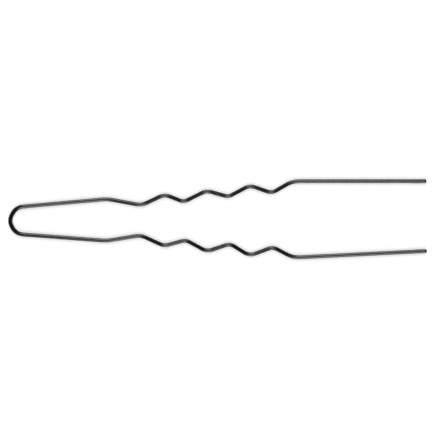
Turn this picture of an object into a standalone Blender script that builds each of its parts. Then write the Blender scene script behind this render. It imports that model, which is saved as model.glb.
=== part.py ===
# Waved hairpin, bent from one length of round spring wire and lacquered black.
# It lies flat on the plane z = 0, with its bow at the low end of X and its tips at the high end.
# Left and right are as seen from the bow, looking along the legs with +Z up.
# All lengths are in metres. Bend radii are those of the wire's centre line.

import math

import bpy
from mathutils import Matrix, Vector

for leftover in list(bpy.data.objects):
    bpy.data.objects.remove(leftover, do_unlink=True)

# Wire, measured over its lacquer
WIRE_DIAMETER = 0.00075
TIP_ROUNDING = 0.00026  # radius of the rounded edge at each tip

# Bow, and the shoulders that run on from it to the knees
BOW_RADIUS = 0.00255
SHOULDER_FLARE_DEG = 4.78  # how far each shoulder opens from the pin's middle line
KNEE_REACH = 0.014934  # from the bow's centre to the knee, along the pin
KNEE_BEND_RADIUS = 0.0090

# Waist, where a leg has come in again and its crimps begin
WAIST_RUN = 0.00652  # from the knee to the waist, along the pin
WAIST_BEND_RADIUS = 0.0053
LEFT_WAIST_DRAW = 0.001301  # how far the waist lies inside the knee
RIGHT_WAIST_DRAW = 0.001093

# Crimps, the waves that grip the hair: troughs towards the middle, crests away from it
CRIMP_COUNT = 4
CRIMP_PITCH = 0.00787  # from trough to trough, along the pin
CRIMP_RISE = 0.001689  # from the troughs' corners to the crests' corners, before they are rounded
CREST_PLACE_SHARE = 0.467  # where a crest lies between its two troughs
CRIMP_SPREAD_DEG = 5.54  # how far the crimped run opens from the pin's middle line
LEFT_CRIMP_CAMBER = -0.000020  # how far the middle of the crimped run bows out
RIGHT_CRIMP_CAMBER = 0.000300
CREST_BEND_RADIUS = 0.00242
TROUGH_BEND_RADIUS = 0.00194

# Tail, the straight end of a leg, which starts at the last crest
HEEL_BEND_RADIUS = 0.0049
TAIL_LENGTH = 0.02437
LEFT_TAIL_TOE_IN_DEG = 0.37
RIGHT_TAIL_TOE_IN_DEG = 2.46

# Flexures: a leg springs about a point on its shoulder, and the wire is parted there
FLEXURE_REACH = 0.0080  # from the bow's end to the flexure, along the shoulder
FLEXURE_GAP = 0.00010  # keeps the two cut faces clear of each other over the leg's travel

# Facets
WIRE_SIDES = 16
BEND_STEP_DEG = 4.5  # largest turn from one ring of the wire to the next
BEND_LIMIT_SHARE = 0.48  # of the straight on either side that a bend may take up
TIP_RINGS = 4

# Finish
LACQUER_COLOUR = (0.006, 0.006, 0.0064, 1.0)
LACQUER_ROUGHNESS = 0.22
LACQUER_METALLIC = 0.0

# Worked out from the sizes above
WIRE_RADIUS = WIRE_DIAMETER / 2
FACET_TILT = math.pi / WIRE_SIDES  # turns the wire so that it lies on a facet, not on an edge
EDGE_REACH = WIRE_RADIUS / math.cos(FACET_TILT)  # from the wire's centre to the edges between facets
FLARE = math.radians(SHOULDER_FLARE_DEG)
SPREAD = math.radians(CRIMP_SPREAD_DEG)
LAST_CREST_RUN = (CRIMP_COUNT - 1 + CREST_PLACE_SHARE) * CRIMP_PITCH
LEFT_SIDE = 1
RIGHT_SIDE = -1


def direction(angle):
    """Unit vector at an angle to the pin's middle line, positive away from it."""
    return Vector((math.cos(angle), math.sin(angle)))


# One half of the pin is drawn as points (along the pin, out from its middle line), counted from
# the bow's centre. The other half is its mirror image, but for the waist's draw, the camber of
# the crimped run and the toe-in.
BOW_END = BOW_RADIUS * direction(FLARE + math.pi / 2)
FLEXURE = BOW_END + FLEXURE_REACH * direction(FLARE)


def bow_half_path():
    """Points from the middle of the bow's crown to one flexure."""
    quarter = math.pi / 2 - FLARE
    steps = math.ceil(math.degrees(quarter) / BEND_STEP_DEG)
    arc = [BOW_RADIUS * direction(math.pi - quarter * n / steps) for n in range(steps + 1)]
    return arc + [FLEXURE - FLEXURE_GAP / 2 * direction(FLARE)]


def crimp_line(run, camber):
    """Point of the slightly bowed line that the troughs' corners lie on, counted from the waist."""
    share = run / LAST_CREST_RUN
    return Vector((run, run * math.tan(SPREAD) + 4 * camber * share * (1 - share)))


def leg_corners(waist_draw, camber, tail):
    """Corners of one leg from its knee to its tip, and the bend radius at each but the tip."""
    knee = Vector((KNEE_REACH, BOW_RADIUS / math.cos(FLARE) + KNEE_REACH * math.tan(FLARE)))
    waist = knee + Vector((WAIST_RUN, -waist_draw))
    corners = [knee]
    radii = [KNEE_BEND_RADIUS]
    for n in range(CRIMP_COUNT):
        corners.append(waist + crimp_line(n * CRIMP_PITCH, camber))
        crest = waist + crimp_line((n + CREST_PLACE_SHARE) * CRIMP_PITCH, camber)
        corners.append(crest + Vector((0, CRIMP_RISE)))
        radii += [TROUGH_BEND_RADIUS, CREST_BEND_RADIUS]
    radii[1] = WAIST_BEND_RADIUS
    radii[-1] = HEEL_BEND_RADIUS
    corners.append(corners[-1] + TAIL_LENGTH * tail)
    return corners, radii


def bend(before, corner, after, radius):
    """Points of the arc that rounds one corner."""
    back = before - corner
    onward = after - corner
    half_turn = (math.pi - back.angle(onward)) / 2
    room = BEND_LIMIT_SHARE * min(back.length, onward.length)
    radius = min(radius, room / math.tan(half_turn))
    inward = (back.normalized() + onward.normalized()).normalized()
    centre = corner + inward * radius / math.cos(half_turn)
    side = math.copysign(1.0, back.cross(onward))
    steps = math.ceil(2 * math.degrees(half_turn) / BEND_STEP_DEG)
    arc = []
    for n in range(steps + 1):
        angle = side * half_turn * (1 - 2 * n / steps)
        arc.append(centre - Matrix.Rotation(angle, 2) @ inward * radius)
    return arc


def leg_path(waist_draw, camber, toe_in_deg):
    """Points along one leg from its flexure to its tip, and the share of its thickness at each."""
    tail = direction(-math.radians(toe_in_deg))
    corners, radii = leg_corners(waist_draw, camber, tail)
    points = [FLEXURE + FLEXURE_GAP / 2 * direction(FLARE)]
    for before, corner, after, radius in zip(points + corners, corners, corners[1:], radii):
        points += bend(before, corner, after, radius)
    thickness_shares = [1.0] * len(points)
    for n in range(TIP_RINGS + 1):
        angle = math.pi / 2 * n / TIP_RINGS
        points.append(corners[-1] - tail * TIP_ROUNDING * (1 - math.sin(angle)))
        thickness_shares.append(1 - TIP_ROUNDING / WIRE_RADIUS * (1 - math.cos(angle)))
    return points, thickness_shares


def on_side(points, side):
    """The same points in three dimensions, on the left or the right of the pin."""
    return [Vector((point.x, side * point.y, 0)) for point in points]


def lacquer(name):
    """Glossy black stoving lacquer."""
    material = bpy.data.materials.new(name)
    material.use_nodes = True
    shader = material.node_tree.nodes["Principled BSDF"]
    shader.inputs["Base Color"].default_value = LACQUER_COLOUR
    shader.inputs["Roughness"].default_value = LACQUER_ROUGHNESS
    shader.inputs["Metallic"].default_value = LACQUER_METALLIC
    material.diffuse_color = LACQUER_COLOUR
    return material


def wire(name, path, thickness_shares, origin, carrier=None):
    """A stretch of round wire along a path, with its object's origin at the given point."""
    curve = bpy.data.curves.new(name, "CURVE")
    curve.dimensions = "3D"
    curve.twist_mode = "Z_UP"
    curve.bevel_depth = EDGE_REACH
    curve.bevel_resolution = WIRE_SIDES // 2 - 2
    curve.use_fill_caps = True
    spline = curve.splines.new("POLY")
    spline.points.add(len(path) - 1)
    for knot, point, share in zip(spline.points, path, thickness_shares):
        knot.co = (*(point - origin), 1)
        knot.radius = share
        knot.tilt = FACET_TILT
    curve.materials.append(lacquer(name + "_lacquer"))
    piece = bpy.data.objects.new(name, curve)
    piece.location = origin
    if carrier:
        piece.parent = carrier
        piece.location = origin - carrier.location
    bpy.context.collection.objects.link(piece)
    return piece


bow_half = bow_half_path()
bow_path = on_side(bow_half[::-1], LEFT_SIDE) + on_side(bow_half[1:], RIGHT_SIDE)
left_half, left_shares = leg_path(LEFT_WAIST_DRAW, LEFT_CRIMP_CAMBER, LEFT_TAIL_TOE_IN_DEG)
right_half, right_shares = leg_path(RIGHT_WAIST_DRAW, RIGHT_CRIMP_CAMBER, RIGHT_TAIL_TOE_IN_DEG)
left_path = on_side(left_half, LEFT_SIDE)
right_path = on_side(right_half, RIGHT_SIDE)

# The part's origin is the middle of the pin's outline, on the plane that the wire lies on
crown = -BOW_RADIUS - WIRE_RADIUS
tips = max(left_path[-1].x, right_path[-1].x)
left_edge = max(point.y for point in left_path)
right_edge = min(point.y for point in right_path)
bow_centre = Vector((-(crown + tips) / 2, -(left_edge + right_edge) / 2, WIRE_RADIUS))


def placed(path):
    """A path counted from the part's origin instead of from the bow's centre."""
    return [point + bow_centre for point in path]


bow = wire("bow", placed(bow_path), [1.0] * len(bow_path), bow_centre)
for name, path, thickness_shares, side in (
    ("left_leg", left_path, left_shares, LEFT_SIDE),
    ("right_leg", right_path, right_shares, RIGHT_SIDE),
):
    flexure = placed(on_side([FLEXURE], side))[0]
    wire(name, placed(path), thickness_shares, flexure, carrier=bow)
    print(name, "flexes about", tuple(round(value, 6) for value in flexure))

print("overall length", round(tips - crown, 5))
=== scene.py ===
import math

import bmesh
import bpy
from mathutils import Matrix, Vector


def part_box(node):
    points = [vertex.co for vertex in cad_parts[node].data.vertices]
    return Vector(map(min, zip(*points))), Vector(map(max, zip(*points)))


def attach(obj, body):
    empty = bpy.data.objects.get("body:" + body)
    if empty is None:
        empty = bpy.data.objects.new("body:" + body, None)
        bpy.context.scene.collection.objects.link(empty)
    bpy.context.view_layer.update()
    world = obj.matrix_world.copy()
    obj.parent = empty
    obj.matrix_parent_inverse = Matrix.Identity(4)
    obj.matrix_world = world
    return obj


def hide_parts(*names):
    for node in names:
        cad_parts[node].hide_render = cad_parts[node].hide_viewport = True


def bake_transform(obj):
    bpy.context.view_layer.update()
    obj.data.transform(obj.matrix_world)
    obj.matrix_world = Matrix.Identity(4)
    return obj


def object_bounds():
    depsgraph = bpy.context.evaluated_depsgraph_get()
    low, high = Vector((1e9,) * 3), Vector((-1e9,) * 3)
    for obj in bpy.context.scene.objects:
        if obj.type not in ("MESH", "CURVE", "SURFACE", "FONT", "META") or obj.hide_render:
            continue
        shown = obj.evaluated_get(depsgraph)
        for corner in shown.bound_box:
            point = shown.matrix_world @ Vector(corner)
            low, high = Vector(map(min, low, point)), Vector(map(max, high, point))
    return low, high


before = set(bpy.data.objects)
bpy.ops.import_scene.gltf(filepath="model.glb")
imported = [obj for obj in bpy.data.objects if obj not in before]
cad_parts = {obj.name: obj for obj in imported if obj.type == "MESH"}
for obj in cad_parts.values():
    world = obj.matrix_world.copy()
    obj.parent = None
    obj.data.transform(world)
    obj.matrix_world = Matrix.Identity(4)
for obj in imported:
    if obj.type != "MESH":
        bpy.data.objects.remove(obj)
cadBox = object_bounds()
print("frame loaded:", ", ".join(sorted(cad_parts)))

mm = 0.001
bpy.context.scene.view_settings.view_transform = "Standard"


# Camera: straight above the pin, which lies a little turned in the picture
cameraView = dict(
    lens=270.0,
    sensor=36.0,
    frameWidth=79.95 * mm,  # what the picture takes in, at the height of the wire
    aimX=0.439 * mm,
    aimY=-0.049 * mm,
    turn=-0.361,  # degrees
    near=0.01,  # metres, what the camera can see at all
    far=10.0,
)


def makeCamera(view, height):
    data = bpy.data.cameras.new("camera")
    data.lens = view["lens"]
    data.sensor_width = view["sensor"]
    data.clip_start = view["near"]
    data.clip_end = view["far"]
    camera = bpy.data.objects.new("camera", data)
    turn = math.radians(view["turn"])
    across = view["aimX"] * math.cos(turn) - view["aimY"] * math.sin(turn)
    up = view["aimX"] * math.sin(turn) + view["aimY"] * math.cos(turn)
    distance = view["frameWidth"] * view["lens"] / view["sensor"]
    camera.location = (across, up, height + distance)
    camera.rotation_euler = (0, 0, turn)
    bpy.context.scene.collection.objects.link(camera)
    bpy.context.scene.camera = camera


makeCamera(cameraView, (cadBox[0].z + cadBox[1].z) / 2)
print("camera made")


# A socket that takes part in Python's arithmetic
class Sock:
    def __init__(self, graph, socket):
        self.graph = graph
        self.socket = socket

    def calc(self, operation, first, second):
        return self.graph.add("ShaderNodeMath", dict(operation=operation), {0: first, 1: second})

    def __add__(self, other):
        return self.calc("ADD", self, other)

    def __radd__(self, other):
        return self.calc("ADD", other, self)

    def __sub__(self, other):
        return self.calc("SUBTRACT", self, other)

    def __rsub__(self, other):
        return self.calc("SUBTRACT", other, self)

    def __mul__(self, other):
        return self.calc("MULTIPLY", self, other)

    def __rmul__(self, other):
        return self.calc("MULTIPLY", other, self)


def setStops(ramp, stops):
    while len(ramp.elements) < len(stops):
        ramp.elements.new(0.5)
    for element, (position, grey) in zip(ramp.elements, stops):
        element.position = position
        element.color = (grey, grey, grey, 1)


# The node tree of one material, or of the world
class Graph:
    def __init__(self, owner):
        owner.use_nodes = True
        self.tree = owner.node_tree
        self.tree.nodes.clear()

    # Settings come first, because some of them change a node's sockets
    def add(self, kind, settings=None, sockets=None, out=0):
        node = self.tree.nodes.new(kind)
        for name, value in (settings or {}).items():
            if name == "stops":
                setStops(node.color_ramp, value)
            else:
                setattr(node, name, value)
        for key, value in (sockets or {}).items():
            if isinstance(value, Sock):
                self.tree.links.new(value.socket, node.inputs[key])
            else:
                node.inputs[key].default_value = value
        return Sock(self, node.outputs[out]) if len(node.outputs) else None


# The wire's course, in millimetres from the middle of the bow: along the pin, and out from its middle line.
# A stroke is a straight or an arc: where it starts, its heading there, its length and its turn.
bowShape = dict(
    radius=2.55,
    flare=math.radians(4.78),  # how far a shoulder opens from the middle line
    stub=0.6,  # the straight past the bend, where the legs' wires take over
    # Bent round in three steps, which leave it a little off an even round
    bends=[2.4, 2.1, 2.4],  # right, crown, left
    crownDrift=(0.04, -0.10),  # how far the crown's corner lies from its even place
    sideDrift=0.05,  # and the others', along their shoulders
)
legShape = dict(
    kneeReach=14.934,
    kneeBend=9.0,
    waistRun=6.52,
    waistBend=3.4,
    crimps=4,
    pitch=7.87,
    rise=1.689,
    crestShare=0.467,
    spread=math.radians(5.54),
    crestBend=2.42,
    troughBend=1.94,
    heelBend=4.9,
    tail=24.37,
)
leftLeg = dict(
    name="leftLegWire",
    node="left_leg",
    side=1,
    waistDraw=1.301,
    camber=-0.020,  # how far the middle of the crimped run bows out
    toeIn=math.radians(0.37),
    # The bends are pressed one by one: how far each lies from its even place, along the pin and out
    drifts=[
        (0.20, 0.01),  # knee
        (-0.15, 0.13), (0.35, 0.03),  # waist, first crest
        (-0.35, -0.06), (0.10, -0.08),  # then a trough and a crest each
        (-0.10, 0.06), (0.10, 0.06),
        (-0.10, -0.08),
    ],
    sag=0.045,  # thickness of the lacquer that has run together near the tip
)
rightLeg = dict(
    name="rightLegWire",
    node="right_leg",
    side=-1,
    waistDraw=1.093,
    camber=0.300,
    toeIn=math.radians(2.46),
    drifts=[
        (0.0, -0.03),
        (-0.35, 0.10), (0.20, -0.13),
        (0.0, 0.02), (0.10, 0.02),
        (0.15, -0.08), (-0.05, 0.14),
        (0.05, -0.04),
    ],
    sag=0.008,
)


def heading(angle):
    return Vector((math.cos(angle), math.sin(angle)))


def stroke(start, angle, length, turn=0.0):
    return dict(start=start, angle=angle, length=length, turn=turn)


def onStroke(run, distance):
    angle = run["angle"] + run["turn"] * distance / run["length"]
    if run["turn"] == 0:
        return run["start"] + distance * heading(angle), angle
    radius = run["length"] / run["turn"]
    first = run["angle"]
    moved = Vector((math.sin(angle) - math.sin(first), math.cos(first) - math.cos(angle)))
    return run["start"] + radius * moved, angle


def throughCorners(corners, bends):
    runs = []
    here = corners[0]
    for before, corner, after, radius in zip(corners, corners[1:], corners[2:], bends):
        into = (corner - before).normalized()
        away = (after - corner).normalized()
        turn = math.atan2(into.x * away.y - into.y * away.x, into.dot(away))
        trim = radius * math.tan(abs(turn) / 2)
        arcStart = corner - trim * into
        angle = math.atan2(into.y, into.x)
        runs.append(stroke(here, angle, (arcStart - here).length))
        runs.append(stroke(arcStart, angle, radius * abs(turn), turn))
        here = corner + trim * away
    last = corners[-1] - here
    runs.append(stroke(here, math.atan2(last.y, last.x), last.length))
    return runs


def mirrored(runs):
    flipped = []
    for run in runs:
        start = Vector((run["start"].x, -run["start"].y))
        flipped.append(stroke(start, -run["angle"], run["length"], -run["turn"]))
    return flipped


# Where the stub of the left shoulder ends
def stubEnd(bow):
    shoulder = bow["radius"] * heading(math.pi / 2 + bow["flare"])
    return shoulder + bow["stub"] * heading(bow["flare"])


# From the stub of the right shoulder round to that of the left
def bowRuns(bow):
    turn = (math.pi - 2 * bow["flare"]) / len(bow["bends"])
    reach = bow["radius"] / math.cos(turn / 2)
    crown = Vector((-reach, 0)) + Vector(bow["crownDrift"])
    side = reach * heading(math.pi - turn) + bow["sideDrift"] * heading(bow["flare"])
    end = stubEnd(bow)
    mirror = Vector((1, -1))
    return throughCorners([end * mirror, side * mirror, crown, side, end], bow["bends"])


def legRuns(bow, leg, own):
    kneeOut = bow["radius"] / math.cos(bow["flare"]) + leg["kneeReach"] * math.tan(bow["flare"])
    knee = Vector((leg["kneeReach"], kneeOut))
    waist = knee + Vector((leg["waistRun"], -own["waistDraw"]))
    corners = [stubEnd(bow), knee]
    bends = [leg["kneeBend"]]
    lastCrest = leg["crimps"] - 1 + leg["crestShare"]
    for n in range(leg["crimps"]):
        for place, rise in ((n, 0), (n + leg["crestShare"], leg["rise"])):
            run = place * leg["pitch"]
            share = place / lastCrest
            out = run * math.tan(leg["spread"]) + 4 * own["camber"] * share * (1 - share) + rise
            corners.append(waist + Vector((run, out)))
        bends += [leg["troughBend"], leg["crestBend"]]
    bends[1] = leg["waistBend"]
    bends[-1] = leg["heelBend"]
    corners.append(corners[-1] + leg["tail"] * heading(-own["toeIn"]))
    for n, drift in enumerate(own["drifts"], start=1):
        corners[n] += Vector(drift)
    runs = throughCorners(corners, bends)
    return runs if own["side"] > 0 else mirrored(runs)


# The wire's skin: rings of points along its course
wireShape = dict(
    radius=0.375,
    sides=40,
    step=0.22,  # between rings
    turnStep=math.radians(2.0),  # most that the wire turns from one ring to the next
    tipLength=0.29,  # over which the end rounds off
    tipPower=2.5,  # 2 is a round end, more is a blunter one
    tipRings=14,
    swell=0.004,  # lacquer lies a little thicker and thinner along the wire, as a share of its radius
    ripples=[(1.9, 0.0), (0.73, 1.1), (4.3, 0.4)],  # of that swell: radians to a millimetre, and a start
    gather=0.030,  # how much fuller the lacquer has gathered round the bow, inside and out
    gatherReach=3.4,  # how far from the crown, along the wire
    toolMark=0.014,  # depth of the flats that the crimping tool leaves inside each bend
    sagBack=1.85,  # how far from a tip the lacquer has run together, on the inner side of the leg
    sagSpread=0.75,
)
bowCentre = Vector((
    cadBox[0].x / mm + wireShape["radius"] + bowShape["radius"],
    (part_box("bow")[0].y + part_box("bow")[1].y) / 2 / mm,
))
wireHeight = cadBox[0].z / mm + wireShape["radius"]


# Points along the runs: place, heading, distance along the wire from the crown, and how far into a bend
def stationsOn(runs, wire, startAlong, direction):
    stations = []
    travelled = 0.0
    for run in runs:
        count = math.ceil(max(run["length"] / wire["step"], abs(run["turn"]) / wire["turnStep"]))
        bendSide = (run["turn"] > 0) - (run["turn"] < 0)
        for n in range(0 if run is runs[0] else 1, count + 1):
            point, angle = onStroke(run, run["length"] * n / count)
            inBend = bendSide * math.sin(math.pi * n / count) ** 2
            along = startAlong + direction * (travelled + run["length"] * n / count)
            stations.append(dict(point=point, angle=angle, along=along, bend=inBend, size=1.0, sag=0.0))
        travelled += run["length"]
    return stations


# Rounds the last station off to a point, and thickens the lacquer a little before it
def shapeTip(stations, wire, sag):
    last = stations[-1]
    end = last["point"].copy()
    back = heading(last["angle"])
    while (end - stations[-1]["point"]).length < wire["tipLength"] + wire["step"] / 2:
        stations.pop()
    for n in range(wire["tipRings"] + 1):
        angle = math.pi / 2 * n / wire["tipRings"]
        depth = math.sin(angle) ** (2 / wire["tipPower"])
        size = math.cos(angle) ** (2 / wire["tipPower"]) if n < wire["tipRings"] else 0.0
        short = wire["tipLength"] * (1 - depth)
        along = last["along"] - math.copysign(short, last["along"])
        stations.append(dict(last, point=end - short * back, along=along, size=size))
    for station in stations:
        reach = ((end - station["point"]).length - wire["sagBack"]) / wire["sagSpread"]
        station["sag"] = sag * math.exp(-reach ** 2)
    return stations


# How thick the wire is at a place, as a share of its radius
def lacquerShare(along, wire):
    ripple = sum(math.sin(along * pace + start) for pace, start in wire["ripples"]) / len(wire["ripples"])
    return 1 - wire["swell"] * (1 + ripple) / 2


def gathered(along, wire):
    return wire["gather"] * math.exp(-(along / wire["gatherReach"]) ** 4)


def wirePiece(name, stations, wire, outward=1):
    mesh = bmesh.new()
    placeLayer = mesh.verts.layers.float_vector.new("wirePlace")
    rubLayer = mesh.verts.layers.float.new("rubbed")
    rings = []
    for station in stations:
        side = heading(station["angle"] + math.pi / 2).to_3d()
        middle = (station["point"] + bowCentre).to_3d()
        middle.z = wireHeight
        ring = []
        for k in range(wire["sides"]):
            turn = 2 * math.pi * k / wire["sides"]
            inside = math.cos(turn) * station["bend"]  # 1 on the inner side of a bend, -1 on the outer
            inner = -outward * math.cos(turn)  # 1 on the side that faces the other leg
            radius = wire["radius"] * lacquerShare(station["along"], wire)
            radius += station["sag"] * max(0, inner) ** 2 - wire["toolMark"] * max(0, inside) ** 3
            radius += gathered(station["along"], wire) * math.cos(turn) ** 2
            radius *= station["size"]
            across = radius * math.cos(turn)
            up = radius * math.sin(turn)
            vertex = mesh.verts.new((middle + across * side + up * Vector((0, 0, 1))) * mm)
            vertex[placeLayer] = (outward * across, up, station["along"])
            vertex[rubLayer] = max(0, -inside) ** 2
            ring.append(vertex)
            if station["size"] == 0:
                break
        rings.append(ring)
    for ring, onward in zip(rings, rings[1:]):
        for k in range(wire["sides"]):
            after = (k + 1) % wire["sides"]
            if len(onward) == 1:
                corners = (ring[k], ring[after], onward[0])
            else:
                corners = (ring[k], ring[after], onward[after], onward[k])
            mesh.faces.new(corners).smooth = True
    for ends in (rings[0][::-1], rings[-1]):
        if len(ends) > 1:
            cap = mesh.faces.new(ends)
            for edge in cap.edges:
                edge.smooth = False
    data = bpy.data.meshes.new(name)
    mesh.to_mesh(data)
    mesh.free()
    piece = bpy.data.objects.new(name, data)
    bpy.context.scene.collection.objects.link(piece)
    return piece


# Lacquer: black, glossy, and not quite even
lacquerLook = dict(
    black=(0.0045, 0.0045, 0.0048, 1),
    thin=(0.016, 0.015, 0.015, 1),  # where it is rubbed thin over the steel
    rubbing=0.5,  # how far it is rubbed through there
    scuffSize=0.2,  # all sizes and heights in millimetres
    ior=1.52,
    roughness=0.18,
    cloudSize=2.2,  # patches of duller and brighter gloss
    unevenness=0.10,
    rubbedRoughness=0.12,
    peelSize=0.16,  # orange peel
    peelHeight=0.0040,
    drawnSize=0.0625,  # lines that drawing left in the wire, seen through the film
    drawnStretch=20,
    drawnHeight=0.0015,
    nibSpacing=0.9,  # specks of dust baked into the film
    nibReach=0.06,
    nibHeight=0.009,
)


def makeLacquer(look):
    material = bpy.data.materials.new("blackLacquer")
    graph = Graph(material)
    place = graph.add("ShaderNodeAttribute", dict(attribute_name="wirePlace"), out="Vector")
    rubbed = graph.add("ShaderNodeAttribute", dict(attribute_name="rubbed"), out="Fac")

    def noise(where, size, detail):
        return graph.add("ShaderNodeTexNoise", None, {"Vector": where, "Scale": 1 / size, "Detail": detail})

    peel = noise(place, look["peelSize"], detail=1.5)
    cloud = noise(place, look["cloudSize"], detail=3.0)
    squeeze = (1, 1, 1 / look["drawnStretch"])
    drawnPlace = graph.add("ShaderNodeVectorMath", dict(operation="MULTIPLY"), {0: place, 1: squeeze})
    drawn = noise(drawnPlace, look["drawnSize"], detail=2.0)
    speck = graph.add("ShaderNodeTexVoronoi", None, {"Vector": place, "Scale": 1 / look["nibSpacing"]})
    nibStops = [(0.0, 1.0), (look["nibReach"], 0.0)]
    nib = graph.add("ShaderNodeValToRGB", dict(stops=nibStops), {"Fac": speck})
    wear = rubbed * noise(place, look["scuffSize"], detail=4.0)
    colour = graph.add(
        "ShaderNodeMix",
        dict(data_type="RGBA"),
        {"Factor": look["rubbing"] * wear, "A": look["black"], "B": look["thin"]},
        out="Result",
    )
    roughness = look["roughness"] + look["unevenness"] * (cloud - 0.5) + look["rubbedRoughness"] * wear
    height = look["peelHeight"] * peel + look["drawnHeight"] * drawn + look["nibHeight"] * nib
    normal = graph.add("ShaderNodeBump", None, {"Strength": 1.0, "Distance": mm, "Height": height})
    surface = graph.add(
        "ShaderNodeBsdfPrincipled",
        None,
        {"Base Color": colour, "Roughness": roughness, "Normal": normal, "IOR": look["ior"]},
    )
    graph.add("ShaderNodeOutputMaterial", None, {"Surface": surface})
    return material


lacquer = makeLacquer(lacquerLook)


def finishPiece(piece, node):
    piece.data.materials.append(lacquer)
    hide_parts(node)


bowPath = bowRuns(bowShape)
bowLength = sum(run["length"] for run in bowPath)
bowWire = wirePiece("bowWire", stationsOn(bowPath, wireShape, -bowLength / 2, 1), wireShape)
finishPiece(bowWire, "bow")
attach(bowWire, "bow")
print("bow made, wire length", round(bowLength, 2), "mm")

for own in (leftLeg, rightLeg):
    side = own["side"]
    runs = legRuns(bowShape, legShape, own)
    stations = shapeTip(stationsOn(runs, wireShape, side * bowLength / 2, side), wireShape, own["sag"])
    piece = wirePiece(own["name"], stations, wireShape, outward=side)
    finishPiece(piece, own["node"])
    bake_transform(piece)
    print(own["name"], "made, wire length", round(sum(run["length"] for run in runs), 2), "mm")


# Floor: a white sheet that the camera sees as white, and that keeps the pin's shadow
floorLook = dict(
    reach=1.5,  # metres to each side
    colour=(0.9, 0.9, 0.9, 1),
    glow=0.30,  # around the pin
    farGlow=1.0,  # where the lamps no longer reach
    fadeFrom=0.15,  # metres from the pin
    fadeTo=0.55,
    below=0.01 * mm,  # clear of the wire
)


def makeFloor(look):
    data = bpy.data.meshes.new("floor")
    reach = look["reach"]
    corners = [(-reach, -reach, 0), (reach, -reach, 0), (reach, reach, 0), (-reach, reach, 0)]
    data.from_pydata(corners, [], [(0, 1, 2, 3)])
    floor = bpy.data.objects.new("floor", data)
    floor.location.z = cadBox[0].z - look["below"]
    bpy.context.scene.collection.objects.link(floor)
    material = bpy.data.materials.new("floorSheet")
    graph = Graph(material)
    byCamera = graph.add("ShaderNodeLightPath", out="Is Camera Ray")
    inGloss = graph.add("ShaderNodeLightPath", out="Is Glossy Ray")
    throughGlass = graph.add("ShaderNodeLightPath", out="Is Transmission Ray")
    seen = byCamera + inGloss + throughGlass
    place = graph.add("ShaderNodeTexCoord", out="Object")
    away = graph.add("ShaderNodeVectorMath", dict(operation="LENGTH"), {0: place}, out="Value")
    stops = [(look["fadeFrom"], look["glow"]), (look["fadeTo"], look["farGlow"])]
    grey = graph.add("ShaderNodeValToRGB", dict(stops=stops), {"Fac": away})
    matt = graph.add("ShaderNodeBsdfDiffuse", None, {"Color": look["colour"]})
    glow = graph.add("ShaderNodeEmission", None, {"Color": grey, "Strength": seen})
    surface = graph.add("ShaderNodeAddShader", None, {0: matt, 1: glow})
    graph.add("ShaderNodeOutputMaterial", None, {"Surface": surface})
    data.materials.append(material)


makeFloor(floorLook)


# Room: white at the horizon, dark overhead where the camera is
roomLight = dict(strength=1.0, whiteUpTo=6, darkFrom=16, dark=0.02)  # degrees above the horizon


def makeRoom(room):
    world = bpy.data.worlds.new("room")
    bpy.context.scene.world = world
    graph = Graph(world)
    towards = graph.add("ShaderNodeTexCoord", out="Generated")
    height = graph.add("ShaderNodeSeparateXYZ", None, {0: towards}, out="Z")
    stops = [
        (math.sin(math.radians(room["whiteUpTo"])), 1.0),
        (math.sin(math.radians(room["darkFrom"])), room["dark"]),
    ]
    sky = graph.add("ShaderNodeValToRGB", dict(stops=stops), {"Fac": height})
    background = graph.add("ShaderNodeBackground", None, {"Color": sky, "Strength": room["strength"]})
    graph.add("ShaderNodeOutputWorld", None, {"Surface": background})


makeRoom(roomLight)


# Lamps: a softbox beyond each leg puts a sheen on the lengthwise wire and leaves the bow dark.
# A wide sheet overhead lights what is matt, and the lacquer doesn't mirror it.
softbox = dict(elevation=35, distance=0.6, width=0.22, height=0.70, power=2.42, mirrored=True)
sheet = dict(elevation=90, distance=1.0, width=1.0, height=1.0, power=3.25, mirrored=False)
lamps = dict(
    leftSoftbox=dict(softbox, azimuth=93.5),
    rightSoftbox=dict(softbox, azimuth=-86.5),
    overheadSheet=dict(sheet, azimuth=0),
)


def makeLamp(name, look):
    azimuth = math.radians(look["azimuth"])
    elevation = math.radians(look["elevation"])
    towards = (math.cos(elevation) * heading(azimuth)).to_3d()
    towards.z = math.sin(elevation)
    data = bpy.data.lights.new(name, "AREA")
    data.shape = "RECTANGLE"
    data.size = look["width"]
    data.size_y = look["height"]
    data.energy = look["power"]
    lamp = bpy.data.objects.new(name, data)
    lamp.location = look["distance"] * towards
    lamp.rotation_mode = "QUATERNION"
    lamp.rotation_quaternion = towards.to_track_quat("Z", "Y")
    lamp.visible_camera = False
    lamp.visible_glossy = look["mirrored"]
    bpy.context.scene.collection.objects.link(lamp)


for name, look in lamps.items():
    makeLamp(name, look)
print("floor, room and lamps made")
